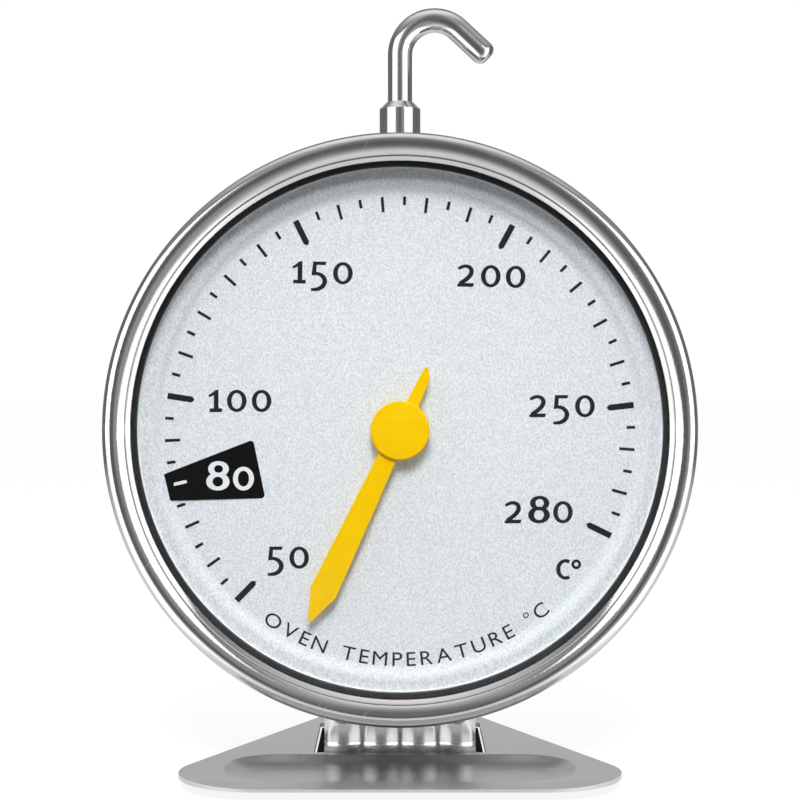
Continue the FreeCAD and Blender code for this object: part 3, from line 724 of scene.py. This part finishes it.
def tag():
    """Black wedge with a white 80 and its mark; only its outer end climbs the dial's step."""
    corners = [(-23.84, -4.23), (-23.21, -6.90), (-13.61, -6.67), (-14.83, -0.73)]
    outer_corner, inner_corner = 0.05, 0.35
    whole = rounded(corners, [outer_corner, outer_corner, inner_corner, inner_corner])
    flat_corners = [(-22.6, -3.75), (-22.6, -6.88), corners[2], corners[3]]
    flat_part = rounded(flat_corners, [0, 0, inner_corner, inner_corner])
    printed("low_heat_tag", [whole, flat_part], TAG_INK)
    eighty = figures("80", -19.58, -5.88, 2.4, side=0.21, top=0.17)
    printed("low_heat_figures", eighty, WHITE_INK, 2)
    angle = scale_angle(TAG_CELSIUS)
    cos, sin = math.cos(angle), math.sin(angle)
    half = 0.165
    bar = arc((SCALE_RADIUS - 0.14, 0), half, -90, 90, 8)
    bar += arc((SCALE_RADIUS - 1.5, 0), half, 90, 270, 8)
    bar = [(r * cos - t * sin, r * sin + t * cos) for r, t in bar]
    printed("low_heat_mark", [bar], WHITE_INK, 2)


def letter_mesh(character, height):
    """Flat mesh of one capital letter, a little wide, with its middle on the mesh's origin."""
    curve = bpy.data.curves.new("letter", "FONT")
    curve.body = character
    curve.size = height / CAPITAL_SHARE
    curve.align_x = "CENTER"
    curve.resolution_u = 6
    curve.extrude = INK_THICKNESS / 2
    letter = bpy.data.objects.new("letter", curve)
    bpy.context.scene.collection.objects.link(letter)
    mesh = bpy.data.meshes.new_from_object(letter)
    bpy.data.objects.remove(letter)
    bpy.data.curves.remove(curve)
    for vertex in mesh.vertices:
        vertex.co.x *= LETTER_STRETCH
    return mesh


def wording():
    """Thin generic wording round the foot of the dial, its letters' tops towards the centre."""
    text = "OVEN TEMPERATURE °C"
    first, last = 234.0, 310.0
    cap_height = 1.5
    foot_radius = 23.7
    word_gap = 0.75
    letters = [None if sign == " " else letter_mesh(sign, cap_height) for sign in text]
    widths = [np.ptp([v.co.x for v in mesh.vertices]) if mesh else word_gap for mesh in letters]
    sweep = math.radians(last - first)
    run = sweep * (foot_radius - cap_height / 2)
    gap = (run - sum(widths)) / (len(text) - 1)
    points, faces = [], []
    along = 0.0
    for mesh, width in zip(letters, widths):
        angle = math.radians(first) + (along + width / 2) / run * sweep
        along += width + gap
        if mesh is None:
            continue
        cos, sin = math.cos(angle), math.sin(angle)
        base = len(points)
        for vertex in mesh.vertices:
            r = foot_radius - vertex.co.y
            t = vertex.co.x
            depth = DIAL_DEPTH - INK_THICKNESS / 2 - vertex.co.z
            points.append(on_print(r * cos - t * sin, r * sin + t * cos, depth))
        faces += [[base + v for v in face.vertices] for face in mesh.polygons]
        bpy.data.meshes.remove(mesh)
    solid("dial_wording", points, faces, "case", INK, ())


# ---- pointer ----
POINTER_ANGLE = 244.6
HUB_RADIUS = 3.0
BLADE_THICKNESS = 0.2
BLADE_EDGE = 0.05


def bevelled(piece, width, segments=2, angle=30):
    """Small rounded edges all over a piece."""
    bevel = piece.modifiers.new("edge", "BEVEL")
    bevel.width = width * MM
    bevel.segments = segments
    bevel.limit_method = "ANGLE"
    bevel.angle_limit = math.radians(angle)
    bevel.harden_normals = True


def blade():
    """Flat yellow arm: round boss, long taper to the shoulders, sharp tip and a short tail."""
    tip, shoulder, wide = 21.9, 18.2, 1.4
    outline = [
        (1.5, -0.93),
        (shoulder, -wide),
        (tip, 0),
        (shoulder, wide),
        (1.5, 0.93),
        (-1.5, 0.72),
        (-6.0, 0.5),
        (-7.1, -0.2),
        (-6.8, -0.5),
        (-1.5, -0.72),
    ]
    radii = [0, 0.4, 0.15, 0.4, 0, 0, 0.2, 0.2, 0.2, 0]
    angle = math.radians(POINTER_ANGLE)
    cos, sin = math.cos(angle), math.sin(angle)

    def at_rest(x, h, depth):
        return on_dial(x * cos - h * sin, x * sin + h * cos, depth)

    boss_radius = 2.1
    boss = arc((0, 0), boss_radius, 0, 360, 48)[1:]
    outlines = [rounded(outline, radii, 4), boss]
    points, faces = sheet_solid(outlines, BLADE_DEPTH, BLADE_THICKNESS, at_rest)
    piece = solid("pointer_arm", points, faces, "pointer", YELLOW, ["pointer_blade"])
    bevelled(piece, BLADE_EDGE)


def hub_cap():
    """Low round cap with a soft rim over the middle of the arm."""
    corners = [(0, CAP_DEPTH), (HUB_RADIUS, CAP_DEPTH), (HUB_RADIUS, BLADE_DEPTH), (0, BLADE_DEPTH)]
    points, faces = lathe(rounded(corners, [0, 0.2, 0.05, 0], 8), 128)
    solid("pointer_hub", points, faces, "pointer", YELLOW, ["pointer_hub_cap"])


# ---- hook ----
WIRE_RADIUS = 1.25
HOOK_BEND = 3.55
HOOK_TURN = 132.7
HOOK_TAIL = 4.3
HOOK_SEAT = 65.25
SPIGOT_RADIUS = 0.8
WIRE_SIDES = 48
BEND_STEPS = 48
TAIL_STEPS = 6
TIP_STEPS = 8


def hook():
    """Round wire: up from the ferrule, over the bend and down a short rounded tail."""
    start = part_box("hook_wire")[1].z / MM - WIRE_RADIUS - HOOK_BEND
    washer_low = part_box("hook_washer")[0].z / MM
    foot = washer_low - 0.35
    chamfer = 0.1
    stations = [(0, foot, 0, 0.0), (0, foot, 0, 1.0), (0, foot + 0.25, 0, 1.05)]
    stations += [(0, washer_low, 0, SPIGOT_RADIUS), (0, HOOK_SEAT, 0, SPIGOT_RADIUS)]
    stations.append((0, HOOK_SEAT, 0, WIRE_RADIUS - chamfer))
    stations.append((0, HOOK_SEAT + chamfer, 0, WIRE_RADIUS))
    stations += [(0, z, 0, WIRE_RADIUS) for z in np.linspace(HOOK_SEAT + 0.5, start, 14)]
    for k in range(1, BEND_STEPS + 1):
        turn = math.radians(HOOK_TURN) * k / BEND_STEPS
        x = HOOK_BEND * (1 - math.cos(turn))
        stations.append((x, start + HOOK_BEND * math.sin(turn), turn, WIRE_RADIUS))
    x, z, turn, _ = stations[-1]
    tip = 0.85
    reach = HOOK_TAIL - tip
    for k in range(1, TAIL_STEPS + 1):
        along = reach * k / TAIL_STEPS
        stations.append((x + along * math.sin(turn), z + along * math.cos(turn), turn, WIRE_RADIUS))
    for k in range(1, TIP_STEPS + 1):
        angle = math.pi / 2 * k / TIP_STEPS
        along = reach + tip * math.sin(angle)
        radius = WIRE_RADIUS - tip + tip * math.cos(angle)
        stations.append((x + along * math.sin(turn), z + along * math.cos(turn), turn, radius))
    stations.append((*stations[-1][:3], 0.0))
    points, faces, rows = [], [], []
    count = WIRE_SIDES
    for x, z, turn, radius in stations:
        if radius == 0:
            rows.append([len(points)] * count)
            points.append((x, HOOK_Y, z))
            continue
        rows.append(list(range(len(points), len(points) + count)))
        for k in range(count):
            angle = 2 * math.pi * k / count
            out, side = radius * math.cos(angle), radius * math.sin(angle)
            points.append((x + out * math.cos(turn), HOOK_Y + side, z - out * math.sin(turn)))
    for near, far in zip(rows, rows[1:]):
        faces += skin(near, far)
    solid("hook_wire_bright", points, faces, "hook", HOOK_STEEL, ["hook_wire"], 40)


bezel()
lens()
gasket()
spacer()
dial()
scale()
numerals()
tag()
wording()
blade()
hub_cap()
hook()


# ---- stage, light and camera; lengths here are in metres, angles in degrees ----
HALF_TURN = 180


def stage_mesh(name, corners, material):
    """One flat face of the stage, from corners in metres."""
    mesh = bpy.data.meshes.new(name)
    mesh.from_pydata(corners, [], [tuple(range(len(corners)))])
    mesh.materials.append(material)
    plane = bpy.data.objects.new(name, mesh)
    bpy.context.scene.collection.objects.link(plane)
    return plane


def floor():
    """Pale table that glows a little, as a table lit from below does, so shadows on it stay faint."""
    half = 3.0
    m = Nodes("pale_floor")
    m.set(Base_Color=(0.25, 0.25, 0.25), Roughness=0.9, Specular_IOR_Level=0.0)
    m.set(Emission_Color=(1.0, 1.0, 1.0), Emission_Strength=0.8)
    corners = [(-half, -half, 0), (half, -half, 0), (half, half, 0), (-half, half, 0)]
    table = stage_mesh("pale_floor", corners, m.material)
    table.visible_diffuse = False
    table.visible_transmission = False


def under_plate():
    """A near-black card on the table under the stand, behind the pressed tray: painted shadow where the
    stand shades the table.
    """
    m = Nodes("painted_shadow_floor")
    # Near-black colour: painted shadow of the stand on the table.
    m.set(Base_Color=(0.02, 0.02, 0.02), Roughness=0.9, Specular_IOR_Level=0.0)
    half, front, back, height = 0.0089, -0.008, 0.018, 0.0003
    corners = [(-half, front), (half, front), (half, back), (-half, back)]
    stage_mesh("painted_shadow_floor", [(x, y, height) for x, y in corners], m.material)


FRONT_LEFT = [(0.03, 0.95), (0.061, 0.97), (0.075, 0.83), (0.091, 0.67), (0.112, 0.5)]
FRONT_LEFT += [(0.14, 0.35), (0.185, 0.235), (0.266, 0.17), (0.46, 0.145)]
FRONT_RIGHT = [(0.03, 0.95), (0.061, 0.97), (0.075, 0.83), (0.091, 0.67)]
FRONT_RIGHT += [(0.112, 0.52), (0.14, 0.42)]
FRONT_CORNERS = [(0.03, 0.95), (0.045, 1.7)]
BESIDE = [(0.06, 0.95), (0.12, 0.7), (0.28, 0.2)]


def table_reflection():
    """What the polished steel mirrors of the table: white near by, darker far off to the front."""
    half, height, reach = 2.6, 0.0002, 0.5
    m = Nodes("table_reflection")
    split = m.new("ShaderNodeSeparateXYZ")
    m.link(m.place, split.inputs[0])
    x, y = split.outputs["X"], split.outputs["Y"]
    distance = m.maths("SQRT", m.maths("ADD", m.maths("POWER", x, 2.0), m.maths("POWER", y, 2.0)))
    azimuth = m.azimuth(x, y)
    aside = m.maths("ABSOLUTE", azimuth)
    right = m.greys(azimuth, -HALF_TURN, HALF_TURN, [(2, 0.0), (6, 1.0)])
    to_left = m.greys(distance, 0, reach, FRONT_LEFT)
    to_right = m.greys(distance, 0, reach, FRONT_RIGHT)
    front = m.blend(right, to_left, to_right)
    in_corner = m.greys(aside, 0, HALF_TURN, [(26, 0.0), (29, 1.0)])
    shade = m.blend(in_corner, front, m.greys(distance, 0, reach, FRONT_CORNERS))
    in_side = m.greys(aside, 0, HALF_TURN, [(74, 0.0), (78, 1.0)])
    shade = m.blend(in_side, shade, m.greys(distance, 0, reach, BESIDE))
    behind = m.greys(aside, 0, HALF_TURN, [(166, 0.0), (172, 1.0)])
    shade = m.blend(behind, shade, m.greys(distance, 0, reach, [(0, 0.85), (0.3, 0.8)]))
    glow = m.new("ShaderNodeEmission")
    m.link(shade, glow.inputs["Color"])
    m.link(glow.outputs[0], m.output.inputs["Surface"])
    corners = [(-half, -half), (half, -half), (half, half), (-half, half)]
    card = stage_mesh("table_reflection", [(a, b, height) for a, b in corners], m.material)
    card.visible_camera = False
    card.visible_diffuse = False
    card.visible_shadow = False
    card.visible_transmission = False


def aim(lamp, azimuth, elevation, distance):
    """Puts a lamp in a direction from the dial, looking at it; azimuth 0 is the camera's side."""
    a, e = math.radians(azimuth), math.radians(elevation)
    away = Vector((math.sin(a) * math.cos(e), -math.cos(a) * math.cos(e), math.sin(e)))
    lamp.location = Vector((0, 0, DIAL_HEIGHT * MM)) + away * distance
    lamp.rotation_euler = away.to_track_quat("Z", "Y").to_euler()
    bpy.context.scene.collection.objects.link(lamp)


def softbox(name, azimuth, elevation, distance, width, height, radiance):
    """Rectangular light that the steel mirrors."""
    light = bpy.data.lights.new(name, "AREA")
    light.shape = "RECTANGLE"
    light.size = width
    light.size_y = height
    light.energy = radiance * math.pi * width * height
    lamp = bpy.data.objects.new(name, light)
    aim(lamp, azimuth, elevation, distance)
    lamp.visible_camera = False
    lamp.visible_diffuse = False
    lamp.visible_transmission = False


def for_matt_surfaces(lamp):
    """Keeps a lamp out of the steel's reflections, and lets all of it through the window."""
    lamp.data.cycles.use_multiple_importance_sampling = False
    lamp.visible_camera = False
    lamp.visible_glossy = False
    lamp.visible_transmission = False


def key_light():
    """Wide round light in front of the dial and above it."""
    elevation, distance, size = 38, 0.33, 0.13
    irradiance = 2.55
    light = bpy.data.lights.new("key_light", "AREA")
    light.shape = "DISK"
    light.size = size
    light.energy = irradiance * math.pi * distance**2
    lamp = bpy.data.objects.new("key_light", light)
    aim(lamp, 0, elevation, distance)
    for_matt_surfaces(lamp)


def top_light():
    """Very wide even light from above."""
    spread, irradiance = 100, 0.7
    light = bpy.data.lights.new("top_light", "SUN")
    light.angle = math.radians(spread)
    light.energy = irradiance
    lamp = bpy.data.objects.new("top_light", light)
    aim(lamp, 0, 89, 1.0)
    for_matt_surfaces(lamp)


def world():
    """White to look at; what lights and mirrors is a soft dome, dim round the camera's side."""
    sky = bpy.data.worlds.new("studio")
    bpy.context.scene.world = sky
    sky.use_nodes = True
    m = Tree(sky.node_tree)
    m.tree.nodes.clear()
    split = m.new("ShaderNodeSeparateXYZ")
    m.link(m.new("ShaderNodeTexCoord").outputs["Generated"], split.inputs[0])
    azimuth = m.azimuth(split.outputs["X"], split.outputs["Y"])
    elevation = m.maths("MULTIPLY", m.maths("ARCSINE", split.outputs["Z"]), 180 / math.pi)
    left = [(-180, 0.7), (-172, 0.66), (-166, 0.35), (-150, 0.2), (-30, 0.2)]
    right = [(30, 0.2), (150, 0.2), (166, 0.35), (172, 0.66), (180, 0.7)]
    low_front = [(-26, 0.12), (3, 0.13), (15, 0.36), (26, 0.42)]
    high_front = [(-26, 0.42), (-9, 0.38), (-6, 0.22), (6, 0.22), (9, 0.38), (26, 0.42)]
    low = m.greys(azimuth, -HALF_TURN, HALF_TURN, left + low_front + right)
    high = m.greys(azimuth, -HALF_TURN, HALF_TURN, left + high_front + right)
    raised = m.greys(elevation, -90, 90, [(4, 0.0), (10, 1.0)])
    overhead = m.greys(elevation, -90, 90, [(28, 0.0), (47, 0.22), (59, 0.6), (72, 1.0)])
    ceiling = m.greys(elevation, -90, 90, [(0, 1.2), (90, 1.2)])
    front = m.blend(overhead, m.blend(raised, low, high), ceiling)
    back = m.greys(elevation, -90, 90, [(22, 0.7), (36, 0.25), (62, 0.25), (78, 1.2)])
    back = m.blend(m.greys(elevation, -90, 90, [(18, 0.0), (24, 1.0)]), low, back)
    is_back = m.greys(m.maths("ABSOLUTE", azimuth), 0, HALF_TURN, [(135, 0.0), (150, 1.0)])
    dome = m.new("ShaderNodeBackground")
    m.link(m.blend(is_back, front, back), dome.inputs["Color"])
    seen = m.new("ShaderNodeBackground")
    seen.inputs["Color"].default_value = (1, 1, 1, 1)
    path = m.new("ShaderNodeLightPath")
    choose = m.new("ShaderNodeMixShader")
    m.link(path.outputs["Is Camera Ray"], choose.inputs[0])
    m.link(dome.outputs[0], choose.inputs[1])
    m.link(seen.outputs[0], choose.inputs[2])
    output = m.new("ShaderNodeOutputWorld")
    m.link(choose.outputs[0], output.inputs["Surface"])


def camera():
    """Long lens a little above the dial's axis, square to it but for a small tilt."""
    distance = 0.2
    tilt = math.radians(1.6)
    focal_share = 2.4825
    data = bpy.data.cameras.new("camera")
    data.sensor_width = 36
    data.lens = data.sensor_width * focal_share
    data.shift_y = 0.039
    data.clip_start = 0.01
    data.clip_end = 10
    eye = bpy.data.objects.new("camera", data)
    target = Vector((0, (FRONT_Y + 1.0) * MM, DIAL_HEIGHT * MM))
    eye.location = target + Vector((0, -math.cos(tilt), math.sin(tilt))) * distance
    level = math.pi / 2
    eye.rotation_euler = (level - tilt, 0, 0)
    bpy.context.scene.collection.objects.link(eye)
    bpy.context.scene.camera = eye


floor()
under_plate()
table_reflection()
softbox("left_softbox", -50, 8, 0.6, 0.55, 0.62, 1.9)
softbox("right_softbox", 50, 8, 0.6, 0.55, 0.62, 1.9)
key_light()
top_light()
world()
camera()
bpy.context.scene.view_settings.view_transform = "Standard"
